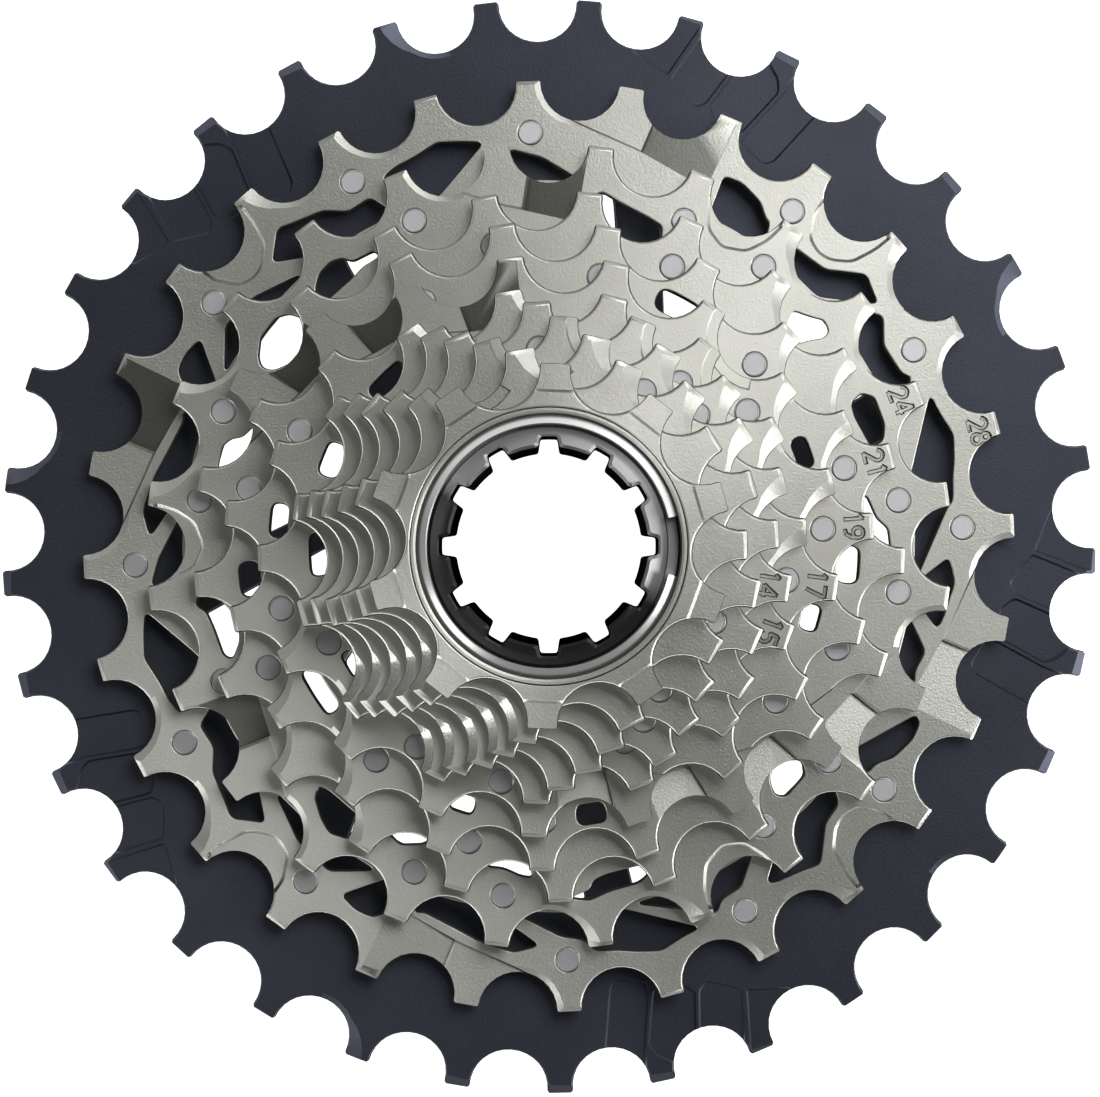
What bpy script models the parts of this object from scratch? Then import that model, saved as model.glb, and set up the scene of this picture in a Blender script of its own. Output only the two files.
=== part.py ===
"""Twelve-speed road bicycle cassette: sprockets of 10 to 33 teeth, riveted into a stepped cone.

The eight larger sprockets are separate plates, the four smallest are turned from one piece, and
shouldered rivet pins hold each sprocket to the next larger one. A lock tube, which screws the
cassette onto the wheel's driver, spins freely inside and is kept in by a split retaining ring.

Metres, +Z along the axle towards the smallest sprocket. The origin is the centre of the back
face, on which the cassette lies. Sizes below are in millimetres and degrees; MM turns them
into metres where a mesh is made.
"""
import math

import bmesh
import bpy

MM = 0.001

# ---------------------------------------------------------------- driving dimensions
CHAIN_PITCH = 12.7            # roller to roller
AXIAL_PITCH = 3.55            # sprocket to sprocket along the axle
ROLLER_SEAT = 3.95            # pitch circle down to the bottom of a gullet
GULLET_RADIUS = 4.85          # a gullet's arc, wider than the roller
PLATE = 1.6                   # steel sprocket thickness
CARRIER_PLATE = 2.0           # aluminium sprocket thickness, at the back
FIT_GAP = 0.3                 # clearance between separate pieces
OVERLAP = 0.5                 # how far solids that become one piece run into each other
SMOOTH_ANGLE = 35             # degrees; sharper edges stay crisp on round pieces

# Each sprocket: where one of its teeth points, its tips above the pitch circle, its inner edge.
CARRIER_TEETH = 33
PLATES = {
    28: {"phase": 2.57, "tip": 0.9, "inner": 40.9},
    24: {"phase": 7.5, "tip": 0.9, "inner": 34.9},
    21: {"phase": 14.8, "tip": 0.9, "inner": 31.0},
    19: {"phase": 3.6, "tip": 0.9, "inner": 26.6},
    17: {"phase": 351.8, "tip": 0.6, "inner": 22.9},
    15: {"phase": 3.2, "tip": 0.4, "inner": 21.4},
    14: {"phase": 15.7, "tip": 0.6, "inner": 19.3},
}
CLUSTER = {
    13: {"phase": 3.1, "tip": 0.7},
    12: {"phase": 17.0, "tip": 0.7},
    11: {"phase": 0.4, "tip": 0.65},
    10: {"phase": 15.9, "tip": 0.65},
}
CARRIER = {"phase": 9.38, "tip": 1.3, "inner": 45.2}
STACK = [33, 28, 24, 21, 19, 17, 15, 14, 13, 12, 11, 10]

# Lightening windows as (first angle, last angle, inner radius, outer radius).
WINDOWS = {
    28: [(3, 20, 45.6, 49.2), (26, 33, 45.6, 48.6), (39, 50, 45.6, 48.2), (56, 63, 45.6, 48.8),
         (88, 95, 45.6, 49.2), (100, 113, 45.6, 49.4), (118, 134, 45.6, 49.0),
         (161, 177, 45.6, 49.2), (190, 203, 45.6, 49.2), (208, 224, 45.6, 49.0),
         (251, 267, 45.6, 49.2), (273, 290, 45.6, 49.4), (304, 318, 45.6, 49.0),
         (324, 335, 45.6, 49.2), (348, 357, 45.6, 48.6)],
    24: [(356, 368, 39.4, 41.2), (17.6, 25.5, 39.4, 43.4), (37.4, 43.6, 39.4, 43.2),
         (71.6, 81, 39.4, 43.4), (125, 133, 39.4, 43.4), (137.5, 147.5, 39.4, 43.2),
         (161, 169, 39.4, 41.2), (188, 199, 39.4, 43.2), (227, 236, 39.4, 43.8),
         (277, 286, 39.4, 43.0), (312, 318, 39.4, 42.0)],
    21: [(183, 189.5, 35.4, 37.8), (353, 360, 35.4, 37.8)],
    19: [(17, 23.5, 31.8, 33.6), (57, 66.5, 31.6, 34.0), (171, 178, 31.8, 33.8),
         (207, 217.5, 31.8, 33.6), (249, 254, 31.8, 33.8), (277, 282, 31.6, 33.8),
         (342, 347.5, 31.8, 33.8)],
    17: [(128.6, 139.5, 26.7, 28.6), (154, 162.5, 26.8, 29.0), (176.8, 187.2, 26.7, 28.6),
         (208.2, 214, 26.9, 28.2)],
}

# Rivet pins: (smaller sprocket, larger sprocket, circle radius, angles).
PIN_RADIUS = 1.2
SHOULDER_RADIUS = 1.9
PIN_RECESS = 0.2              # how far a pin's end stays inside the back of the aluminium sprocket
PIN_SIDES = 8
PINS = [
    (28, 33, 51.1, [quarter + step for quarter in (0, 90, 180, 270) for step in (2.6, 28.3, 54.0)]),
    (24, 28, 43.2, [7.5, 52.5, 67.5, 112.5, 157.5, 172.5, 202.5, 247.5, 262.5, 307.5, 322.5, 352.5]),
    (21, 24, 37.2, [14.8, 66.2, 100.5, 169.1, 203.4, 254.8, 340.5]),
    (19, 21, 33.2, [3.6, 79.4, 117.3, 155.2, 193.1, 268.9, 325.7]),
    (17, 19, 28.8, [34.2, 203.6, 258.5, 351.8]),
    (15, 17, 24.9, [51.2, 171.2, 291.2]),
    (14, 15, 23.4, [92.9, 298.6]),
    (13, 14, 21.3, [58.5, 307.7]),
]

# Hub of the aluminium sprocket, which slides onto the driver's splines.
HUB_BORE = 17.3
HUB_OUTER = 21.4
HUB_HEIGHT = 12.5
SPLINE_COUNT = 9
SPLINE_DEPTH = 1.0
SPLINE_WIDTH = 3.0
SPLINE_CREST = 0.8            # a spline's width at its crest, as a share of its width at the root
HUB_FILLET = 0.6              # the arms' windows stop this far outside the hub wall
ARM_HALF_WIDTH = 2.8
ARMS = [(12, 20), (56, 77), (140, 129), (164, 188), (212, 232), (276, 280), (322, 335)]

# Bore of the one-piece cluster, from the front face down.
BORE = 15.3
CLUSTER_SLEEVE = 17.4         # outer radius of the sleeve behind the 13-tooth sprocket
SLEEVE_LENGTH = 5.0
COLLAR_OUTER = 15.95          # collar round the bore, as high as the smallest sprocket
COLLAR_HEIGHT = 0.4
LEVEL_HOLE = 15.9             # hole in each sprocket of the cluster, filled by the sleeve
SHOULDER_DEPTH = 5.2          # front face to the ledge under the lock tube's flange
BORE_BEHIND = 14.4
GROOVE_TOP = 0.7
GROOVE_BOTTOM = 2.3
GROOVE_RADIUS = 15.85
NECKS = {12: 19.6, 11: 18.2, 10: 16.3}  # neck behind each cluster sprocket

# Split retaining ring and lock tube.
RING_INNER = 14.15
RING_OUTER = 15.55
RING_HALF_GAP = 13.3          # degrees
TUBE_NOSE = 13.85
NOSE_DEPTH = 0.8              # front face down to the end of the nose
TUBE_FLANGE = 15.0
TUBE_FLANGE_HEIGHT = 2.2
TUBE_BODY = 14.05
TUBE_THREAD_BORE = 12.9
TUBE_LAND = 11.4              # between the tool notches
TUBE_NOTCH = 12.75
NOTCH_COUNT = 12
NOTCH_HALF_WIDTH = 1.2
NOTCH_FLOOR = 0.85            # a notch's width at its floor, as a share of its width at the land
NOTCH_LENGTH = 16.0
TUBE_END = 14.5               # height of the lock tube's inboard end

SECTIONS = 48                 # sides of a turned piece

# ---------------------------------------------------------------- heights along the axle


def front_face(teeth):
    """Height of a sprocket's front face."""
    return CARRIER_PLATE + AXIAL_PITCH * STACK.index(teeth)


def back_face(teeth):
    """Height of a sprocket's back face."""
    if teeth == CARRIER_TEETH:
        return 0.0
    return front_face(teeth) - PLATE


FRONT = front_face(10)
NOSE_TOP = FRONT - NOSE_DEPTH

# ---------------------------------------------------------------- outlines, as lists of (x, y)


def polar(radius, degrees):
    angle = math.radians(degrees)
    return radius * math.cos(angle), radius * math.sin(angle)


def arc(radius, first, last, count):
    """Points along a circle about the axle, both ends included."""
    return [polar(radius, first + (last - first) * i / (count - 1)) for i in range(count)]


def circle(radius, count, centre=(0.0, 0.0)):
    points = [polar(radius, 360.0 * i / count) for i in range(count)]
    return [(x + centre[0], y + centre[1]) for x, y in points]


def pitch_radius(teeth):
    return CHAIN_PITCH / (2 * math.sin(math.pi / teeth))


def toothed(teeth, phase, tip):
    """Outline of a sprocket: an arc for each gullet, joined by straight tips."""
    tip_radius = pitch_radius(teeth) + tip
    centre = pitch_radius(teeth) - ROLLER_SEAT + GULLET_RADIUS
    cosine = (tip_radius ** 2 - centre ** 2 - GULLET_RADIUS ** 2) / (2 * centre * GULLET_RADIUS)
    half_sweep = math.pi - math.acos(cosine)
    points = []
    for gap in range(teeth):
        middle = math.radians(phase + 360.0 * (gap + 0.5) / teeth)
        for part in (1.0, 0.5, 0.0, -0.5, -1.0):
            turn = middle + math.pi + part * half_sweep
            x = centre * math.cos(middle) + GULLET_RADIUS * math.cos(turn)
            y = centre * math.sin(middle) + GULLET_RADIUS * math.sin(turn)
            points.append((x, y))
    return points


def sector(first, last, inner, outer):
    """A window bounded by two arcs about the axle."""
    return arc(inner, first, last, 3) + arc(outer, last, first, 3)


def between_arms(arm, following, inner, outer):
    """The window between two spider arms, each given by its hub angle and its rim angle."""
    at_hub = math.degrees(ARM_HALF_WIDTH / inner)
    at_rim = math.degrees(ARM_HALF_WIDTH / outer)
    hub_side = arc(inner, arm[0] + at_hub, following[0] - at_hub, 4)
    rim_side = arc(outer, following[1] - at_rim, arm[1] + at_rim, 6)
    return hub_side + rim_side


def splined_bore():
    """Inner outline of the hub: a circle with raised splines."""
    half = math.degrees(SPLINE_WIDTH / 2 / HUB_BORE)
    step = 360.0 / SPLINE_COUNT
    points = []
    for i in range(SPLINE_COUNT):
        middle = i * step
        points += arc(HUB_BORE - SPLINE_DEPTH, middle - half * SPLINE_CREST, middle + half * SPLINE_CREST, 2)
        points += arc(HUB_BORE, middle + half, middle + step - half, 4)
    return points


def notched_bore():
    """Inner outline of the lock tube: lands parted by the notches that the tool turns."""
    at_land = math.degrees(NOTCH_HALF_WIDTH / TUBE_LAND)
    at_notch = math.degrees(NOTCH_HALF_WIDTH * NOTCH_FLOOR / TUBE_NOTCH)
    step = 360.0 / NOTCH_COUNT
    points = []
    for i in range(NOTCH_COUNT):
        middle = i * step
        points += arc(TUBE_NOTCH, middle - at_notch, middle + at_notch, 2)
        points += arc(TUBE_LAND, middle + at_land, middle + step - at_land, 2)
    return points


# ---------------------------------------------------------------- solids


def finish_object(name, bm, material):
    """Turn a bmesh into a named object, with its faces pointing out."""
    bmesh.ops.recalc_face_normals(bm, faces=bm.faces)
    mesh = bpy.data.meshes.new(name)
    bm.to_mesh(mesh)
    bm.free()
    piece = bpy.data.objects.new(name, mesh)
    bpy.context.scene.collection.objects.link(piece)
    if material:
        mesh.materials.append(material)
    return piece


def plate(name, outer, holes, bottom, top, material=None):
    """A flat plate: an outline and its holes, filled and extruded from bottom to top."""
    bm = bmesh.new()
    for loop in [outer] + holes:
        verts = [bm.verts.new((x * MM, y * MM, bottom * MM)) for x, y in loop]
        for i, vert in enumerate(verts):
            bm.edges.new((vert, verts[i - 1]))
    bmesh.ops.triangle_fill(bm, use_beauty=True, edges=bm.edges[:])
    raised = bmesh.ops.extrude_face_region(bm, geom=bm.faces[:])["geom"]
    raised_verts = [item for item in raised if isinstance(item, bmesh.types.BMVert)]
    bmesh.ops.translate(bm, verts=raised_verts, vec=(0, 0, (top - bottom) * MM))
    return finish_object(name, bm, material)


def turned(name, profile, sides, material=None, first=0.0, sweep=360.0):
    """A closed profile of (radius, height) points, turned about the axle."""
    whole = sweep >= 360.0
    columns = sides if whole else sides + 1
    bm = bmesh.new()
    rows = []
    for i in range(columns):
        row = []
        for radius, height in profile:
            x, y = polar(radius, first + sweep * i / sides)
            row.append(bm.verts.new((x * MM, y * MM, height * MM)))
        rows.append(row)
    count = len(profile)
    for i in range(columns if whole else columns - 1):
        here, there = rows[i], rows[(i + 1) % columns]
        for j in range(count):
            k = (j + 1) % count
            bm.faces.new((here[j], there[j], there[k], here[k]))
    if not whole:
        bm.faces.new(rows[0])
        bm.faces.new(rows[-1])
    return finish_object(name, bm, material)


def solid_of_levels(name, levels, sides, material, centre):
    """A stack of (radius, height) rings about a vertical axis, capped at both ends."""
    bm = bmesh.new()
    rings = []
    for radius, height in levels:
        ring = [bm.verts.new((x * MM, y * MM, height * MM)) for x, y in circle(radius, sides, centre)]
        rings.append(ring)
    for lower, upper in zip(rings, rings[1:]):
        for i in range(sides):
            k = (i + 1) % sides
            bm.faces.new((lower[i], lower[k], upper[k], upper[i]))
    bm.faces.new(rings[0])
    bm.faces.new(rings[-1])
    return finish_object(name, bm, material)


def join_solid(piece, helper):
    """Union a helper solid into a piece. The helper itself is hidden."""
    union = piece.modifiers.new("join_" + helper.name, "BOOLEAN")
    union.operation = "UNION"
    union.solver = "EXACT"
    union.object = helper
    helper.hide_render = True
    helper.display_type = "WIRE"


def shade_round(piece):
    piece.data.shade_smooth()
    piece.data.set_sharp_from_angle(angle=math.radians(SMOOTH_ANGLE))


# ---------------------------------------------------------------- materials


def metal(name, color, roughness):
    material = bpy.data.materials.new(name)
    material.use_nodes = True
    shader = material.node_tree.nodes["Principled BSDF"]
    shader.inputs["Base Color"].default_value = (*color, 1.0)
    shader.inputs["Metallic"].default_value = 1.0
    shader.inputs["Roughness"].default_value = roughness
    return material


# ---------------------------------------------------------------- the pieces


def pin_holes(teeth):
    """A clearance hole for every pin that passes through this sprocket."""
    holes = []
    for smaller, larger, radius, angles in PINS:
        if teeth in (smaller, larger):
            holes += [circle(PIN_RADIUS + FIT_GAP, PIN_SIDES, polar(radius, a)) for a in angles]
    return holes


def make_sprocket_plate(teeth, material):
    spec = PLATES[teeth]
    sides = max(24, 2 * (teeth // 2) + 8)
    holes = [circle(spec["inner"], sides)] + pin_holes(teeth)
    holes += [sector(*window) for window in WINDOWS.get(teeth, [])]
    outline = toothed(teeth, spec["phase"], spec["tip"])
    name = "sprocket_%d" % teeth
    return plate(name, outline, holes, back_face(teeth), front_face(teeth), material)


def make_carrier(material):
    """The aluminium sprocket: a toothed rim, slanting arms and a splined hub."""
    outline = toothed(CARRIER_TEETH, CARRIER["phase"], CARRIER["tip"])
    following = ARMS[1:] + [(ARMS[0][0] + 360, ARMS[0][1] + 360)]
    holes = [between_arms(a, b, HUB_OUTER + HUB_FILLET, CARRIER["inner"]) for a, b in zip(ARMS, following)]
    holes += pin_holes(CARRIER_TEETH)
    holes.append(splined_bore())
    top = front_face(CARRIER_TEETH)
    carrier = plate("sprocket_33", outline, holes, 0.0, top, material)
    hub = plate("hub_wall", circle(HUB_OUTER, SECTIONS), [splined_bore()], top / 2, HUB_HEIGHT)
    join_solid(carrier, hub)
    return carrier


def make_cluster(material):
    """The four smallest sprockets on one turned sleeve, with the bore for the lock tube."""
    base = back_face(13) - SLEEVE_LENGTH
    profile = [
        (CLUSTER_SLEEVE, base),
        (CLUSTER_SLEEVE, back_face(13) + OVERLAP),
        (NECKS[12], back_face(13) + OVERLAP),
        (NECKS[12], back_face(12) + OVERLAP),
        (NECKS[11], back_face(12) + OVERLAP),
        (NECKS[11], back_face(11) + OVERLAP),
        (NECKS[10], back_face(11) + OVERLAP),
        (NECKS[10], FRONT - COLLAR_HEIGHT),
        (COLLAR_OUTER, FRONT - COLLAR_HEIGHT),
        (COLLAR_OUTER, FRONT),
        (BORE, FRONT),
        (BORE, FRONT - GROOVE_TOP),
        (GROOVE_RADIUS, FRONT - GROOVE_TOP),
        (GROOVE_RADIUS, FRONT - GROOVE_BOTTOM),
        (BORE, FRONT - GROOVE_BOTTOM),
        (BORE, FRONT - SHOULDER_DEPTH),
        (BORE_BEHIND, FRONT - SHOULDER_DEPTH),
        (BORE_BEHIND, base),
    ]
    cluster = turned("cluster_10_11_12_13", profile, SECTIONS, material)
    for teeth, spec in CLUSTER.items():
        outline = toothed(teeth, spec["phase"], spec["tip"])
        holes = [circle(LEVEL_HOLE, SECTIONS)]
        if teeth == 13:
            holes += pin_holes(teeth)
        level = plate("level_%d" % teeth, outline, holes, back_face(teeth), front_face(teeth))
        join_solid(cluster, level)
    return cluster


def make_lock_tube(material):
    """A notched nose for the tool, a flange that the ring retains, and a threaded end."""
    notch_bottom = NOSE_TOP - NOTCH_LENGTH
    tube = plate("lock_tube", circle(TUBE_NOSE, SECTIONS), [notched_bore()], notch_bottom, NOSE_TOP, material)
    flange_top = FRONT - GROOVE_BOTTOM - FIT_GAP
    flange_bottom = flange_top - TUBE_FLANGE_HEIGHT
    profile = [
        (TUBE_BODY, TUBE_END),
        (TUBE_BODY, flange_bottom),
        (TUBE_FLANGE, flange_bottom),
        (TUBE_FLANGE, flange_top),
        (TUBE_NOTCH + OVERLAP, flange_top),
        (TUBE_NOTCH + OVERLAP, notch_bottom + OVERLAP),
        (TUBE_THREAD_BORE, notch_bottom + OVERLAP),
        (TUBE_THREAD_BORE, TUBE_END),
    ]
    join_solid(tube, turned("tube_wall", profile, SECTIONS))
    return tube


def make_retaining_ring(material):
    top = FRONT - GROOVE_TOP - FIT_GAP
    bottom = FRONT - GROOVE_BOTTOM + FIT_GAP
    profile = [(RING_INNER, bottom), (RING_OUTER, bottom), (RING_OUTER, top), (RING_INNER, top)]
    sweep = 360.0 - 2 * RING_HALF_GAP
    return turned("retaining_ring", profile, SECTIONS - 4, material, RING_HALF_GAP, sweep)


def make_pins(material):
    """A rivet pin for each joint: a shank through both sprockets and a shoulder between them."""
    for smaller, larger, radius, angles in PINS:
        low = back_face(larger) + (PIN_RECESS if larger == CARRIER_TEETH else 0.0)
        levels = [
            (PIN_RADIUS, low),
            (PIN_RADIUS, front_face(larger) + FIT_GAP),
            (SHOULDER_RADIUS, front_face(larger) + FIT_GAP),
            (SHOULDER_RADIUS, back_face(smaller) - FIT_GAP),
            (PIN_RADIUS, back_face(smaller) - FIT_GAP),
            (PIN_RADIUS, front_face(smaller)),
        ]
        for number, angle in enumerate(angles, start=1):
            name = "pin_%d_%d_%02d" % (smaller, larger, number)
            solid_of_levels(name, levels, PIN_SIDES, material, polar(radius, angle))


def main():
    for old in list(bpy.data.objects):
        bpy.data.objects.remove(old)
    steel = metal("nickel_steel", (0.46, 0.455, 0.44), 0.34)
    black_aluminium = metal("anodised_aluminium", (0.035, 0.037, 0.045), 0.42)
    dark_tube = metal("blackened_tube", (0.10, 0.10, 0.105), 0.38)
    spring_steel = metal("spring_steel", (0.70, 0.70, 0.69), 0.22)
    pin_steel = metal("pin_steel", (0.42, 0.41, 0.43), 0.30)
    make_carrier(black_aluminium)
    for teeth in PLATES:
        make_sprocket_plate(teeth, steel)
    shade_round(make_cluster(steel))
    shade_round(make_lock_tube(dark_tube))
    shade_round(make_retaining_ring(spring_steel))
    make_pins(pin_steel)


main()
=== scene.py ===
import math

import bmesh
import bpy
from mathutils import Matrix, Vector


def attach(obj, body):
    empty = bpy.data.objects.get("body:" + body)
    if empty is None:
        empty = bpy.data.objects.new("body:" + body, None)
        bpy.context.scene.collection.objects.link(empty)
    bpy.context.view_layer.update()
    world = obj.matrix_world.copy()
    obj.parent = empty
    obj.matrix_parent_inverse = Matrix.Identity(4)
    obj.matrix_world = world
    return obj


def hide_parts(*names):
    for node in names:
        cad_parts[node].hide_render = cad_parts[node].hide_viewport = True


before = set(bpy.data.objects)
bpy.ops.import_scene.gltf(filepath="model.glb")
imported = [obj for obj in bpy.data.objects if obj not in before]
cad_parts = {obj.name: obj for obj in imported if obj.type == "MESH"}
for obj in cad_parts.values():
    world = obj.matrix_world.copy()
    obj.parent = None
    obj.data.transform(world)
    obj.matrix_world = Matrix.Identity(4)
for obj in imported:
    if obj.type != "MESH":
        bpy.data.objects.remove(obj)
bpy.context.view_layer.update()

MM = 0.001

# ------------------------------ dimensions
CHAIN_PITCH = 12.7
AXIAL_PITCH = 3.55
ROLLER_SEAT = 3.95
GULLET_RADIUS = 4.85
PLATE = 1.6
CARRIER_PLATE = 2.0
STACK = [33, 28, 24, 21, 19, 17, 15, 14, 13, 12, 11, 10]
PHASE = {33: 9.38, 28: 2.57, 24: 7.5, 21: 14.8, 19: 3.6, 17: 351.8, 15: 3.2, 14: 15.7,
         13: 3.1, 12: 17.0, 11: 0.4, 10: 15.9}
TIP = {33: 1.3, 28: 0.9, 24: 0.9, 21: 0.9, 19: 0.9, 17: 0.6, 15: 0.4, 14: 0.6,
       13: 0.7, 12: 0.7, 11: 0.65, 10: 0.65}
INNER = {28: 40.9, 24: 34.9, 21: 31.0, 19: 26.6, 17: 22.9, 15: 21.4, 14: 19.3}
QUARTERS = (0, 90, 180, 270)
PINS = [
    (28, 33, 51.1, [quarter + step for quarter in QUARTERS for step in (2.6, 28.3, 54.0)]),
    (24, 28, 43.2, [7.5, 52.5, 67.5, 112.5, 157.5, 172.5, 202.5, 247.5, 262.5, 307.5, 322.5, 352.5]),
    (21, 24, 37.2, [14.8, 66.2, 100.5, 169.1, 203.4, 254.8, 340.5]),
    (19, 21, 33.2, [3.6, 79.4, 117.3, 155.2, 193.1, 268.9, 325.7]),
    (17, 19, 28.8, [34.2, 203.6, 258.5, 351.8]),
    (15, 17, 24.9, [51.2, 171.2, 291.2]),
    (14, 15, 23.4, [92.9, 298.6]),
    (13, 14, 21.3, [58.5, 307.7]),
]
EXTRA_PINS = [(19, 21, 33.2, [41.5, 231.0]), (17, 19, 28.8, [236.6]), (14, 15, 23.4, [41.4]),
              (13, 14, 21.3, [335.4])]
PIN_RADIUS = 1.47
PIN_FACE = 1.27               # inside the groove that the riveting leaves
PIN_HOLE = 1.5
PIN_SHOULDER = 1.9
PIN_SIDES = 32

HUB_BORE = 17.3
HUB_OUTER = 21.4
HUB_HEIGHT = 12.5
SPLINE_COUNT = 9
SPLINE_DEPTH = 1.0
SPLINE_WIDTH = 3.0
CARRIER_INNER = 45.2
ARM_HALF_WIDTH = 3.1
ARMS = [(13, 22), (56, 76), (140, 129), (164, 188), (212, 232), (276, 280), (322, 335)]

BORE = 15.3
SLEEVE_OUTER = 17.4
SLEEVE_LENGTH = 5.0
SHOULDER_DEPTH = 5.2
BORE_BEHIND = 14.4
GROOVE_TOP = 0.7
GROOVE_BOTTOM = 2.3
GROOVE_RADIUS = 15.85
NECKS = {12: 19.6, 11: 18.2, 10: 16.3}
RING_INNER = 14.1
RING_OUTER = 15.55
RING_HALF_GAP = 13.3
TUBE_NOSE = 13.85
TUBE_FLANGE = 15.0
TUBE_BODY = 14.05
TUBE_THREAD_BORE = 12.9
TUBE_LAND = 11.5
TUBE_LAND_BELOW = 11.0        # the lands lean in towards the thread
TUBE_NOTCH = 12.75
NOTCH_COUNT = 12
NOTCH_HALF_WIDTH = 1.25
NOTCH_LENGTH = 16.0
TUBE_END = 14.5
FLANGE_THICKNESS = 2.2
THREAD_TURNS = 9
THREAD_PITCH = 1.0
THREAD_DEPTH = 0.45
NOSE_CHAMFER = 0.3
NOSE_SLOPE = 0.5              # the nose's face falls away towards its rim

EDGE = 0.22                   # radius of the rounded edge round every plate
HOLE_EDGE = 0.12
FOOT_EDGE = 0.1               # the plain broken edge at the back of a plate
WALL_LEAN = 0.13              # how far a wall leans in between the bottom and the top
PIN_HOLE_LEAN = 0.02
TIP_CORNER = (0.22, 0.25)     # a tip's rounded corner, along the tip and down the flank
FLAT = 0.9995                 # upward part of a face's normal, above which it counts as level
CREASE = 32                   # edges sharper than this angle stay crisp
TURNED_CREASE = 12

HEADROOM = 1.2                # how far a cutter stands clear of what it cuts
TIP_HALF_WIDTH = 3.4          # half the width of the cutter over a tip
FLANK_REACH = 1.3             # how far a flank's cutter reaches into the gullet


def front_face(teeth):
    return CARRIER_PLATE + AXIAL_PITCH * STACK.index(teeth)


def back_face(teeth):
    return 0.0 if teeth == 33 else front_face(teeth) - PLATE


def pitch_radius(teeth):
    return CHAIN_PITCH / (2 * math.sin(math.pi / teeth))


FRONT = front_face(10)
NOSE_TOP = FRONT - GROOVE_TOP - 0.1

# ------------------------------ flat outlines, as lists of (x, y)


def polar(radius, degrees):
    angle = math.radians(degrees)
    return radius * math.cos(angle), radius * math.sin(angle)


def arc(radius, first, last, count):
    return [polar(radius, first + (last - first) * i / (count - 1)) for i in range(count)]


def circle(radius, count, centre=(0.0, 0.0)):
    points = [polar(radius, 360.0 * i / count) for i in range(count)]
    return [(x + centre[0], y + centre[1]) for x, y in points]


def tip_angle(teeth, tip_radius):
    """How far round its gullet's circle, from straight out, a gullet meets the tips."""
    centre = gullet_centre(teeth)
    cosine = (tip_radius ** 2 - centre ** 2 - GULLET_RADIUS ** 2) / (2 * centre * GULLET_RADIUS)
    return math.degrees(math.acos(cosine))


def gullet_centre(teeth):
    return pitch_radius(teeth) - ROLLER_SEAT + GULLET_RADIUS


def gullet_point(teeth, gap_angle, turn, reach=GULLET_RADIUS):
    """A point at a distance from a gullet's own centre; turn 180 is the bottom, 90 the side ahead."""
    x, y = polar(gullet_centre(teeth), gap_angle)
    dx, dy = polar(reach, gap_angle + turn)
    return x + dx, y + dy


def toothed(teeth, steps=15):
    """A sprocket's outline, anticlockwise: gullets as arcs, tips with small rounded corners."""
    tip_radius = pitch_radius(teeth) + TIP[teeth]
    along, down = TIP_CORNER
    start = tip_angle(teeth, tip_radius - down)
    corner = tip_angle(teeth, tip_radius)
    inset = math.degrees(along / tip_radius)
    points = []
    for gap in range(teeth):
        middle = PHASE[teeth] + 360.0 * (gap + 0.5) / teeth
        for i in range(steps):
            turn = 360.0 - start + (2 * start - 360.0) * i / (steps - 1)
            points.append(gullet_point(teeth, middle, turn))
        x, y = gullet_point(teeth, middle, corner)
        points.append(polar(tip_radius, math.degrees(math.atan2(y, x)) + inset))
        x, y = gullet_point(teeth, middle + 360.0 / teeth, 360.0 - corner)
        points.append(polar(tip_radius, math.degrees(math.atan2(y, x)) - inset))
    return points


def rounded(points, radius, steps=5):
    """Corners replaced by short curves that start a given distance before each corner."""
    result = []
    count = len(points)
    for i, corner in enumerate(points):
        here = Vector(corner)
        before = Vector(points[i - 1]) - here
        after = Vector(points[(i + 1) % count]) - here
        a = here + before.normalized() * min(radius, before.length * 0.48)
        b = here + after.normalized() * min(radius, after.length * 0.48)
        for k in range(steps + 1):
            t = k / steps
            point = a * (1 - t) ** 2 + here * 2 * t * (1 - t) + b * t * t
            result.append((point.x, point.y))
    return result


def sector(first, last, inner, outer):
    count = max(2, int((last - first) / 5) + 2)
    return rounded(arc(inner, first, last, count) + arc(outer, last, first, count), 1.5)


def area(points):
    return sum(a[0] * b[1] - b[0] * a[1] for a, b in zip(points, points[1:] + points[:1])) / 2


def wound(points, anticlockwise):
    return points if (area(points) > 0) == anticlockwise else points[::-1]


def offset(points, distance):
    """The outline moved to its left, into the material, with mitred corners."""
    moved = []
    count = len(points)
    for i in range(count):
        before = (Vector(points[i]) - Vector(points[i - 1])).normalized()
        after = (Vector(points[(i + 1) % count]) - Vector(points[i])).normalized()
        normal = Vector((-before.y - after.y, before.x + after.x))
        if normal.length < 1e-6:
            normal = Vector((-after.y, after.x))
        normal.normalize()
        reach = distance / max(0.5, normal.dot(Vector((-after.y, after.x))))
        moved.append((points[i][0] + normal.x * reach, points[i][1] + normal.y * reach))
    return moved


# ------------------------------ solids


def shade(mesh, smooth):
    """Smooth shading that stays crisp at corners and wherever a level face ends."""
    mesh.shade_smooth()
    mesh.set_sharp_from_angle(angle=math.radians(smooth))
    bm = bmesh.new()
    bm.from_mesh(mesh)
    bm.normal_update()
    for edge in bm.edges:
        level = [abs(face.normal.z) > FLAT for face in edge.link_faces]
        if any(level) and not all(level):
            edge.smooth = False
    bm.to_mesh(mesh)
    bm.free()


def vert(bm, x, y, z):
    return bm.verts.new((x * MM, y * MM, z * MM))


def skin(bm, rings):
    """Joins closed rings of vertices, each to the next."""
    for here, there in zip(rings, rings[1:]):
        for i in range(len(here)):
            bm.faces.new((here[i - 1], here[i], there[i], there[i - 1]))


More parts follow.
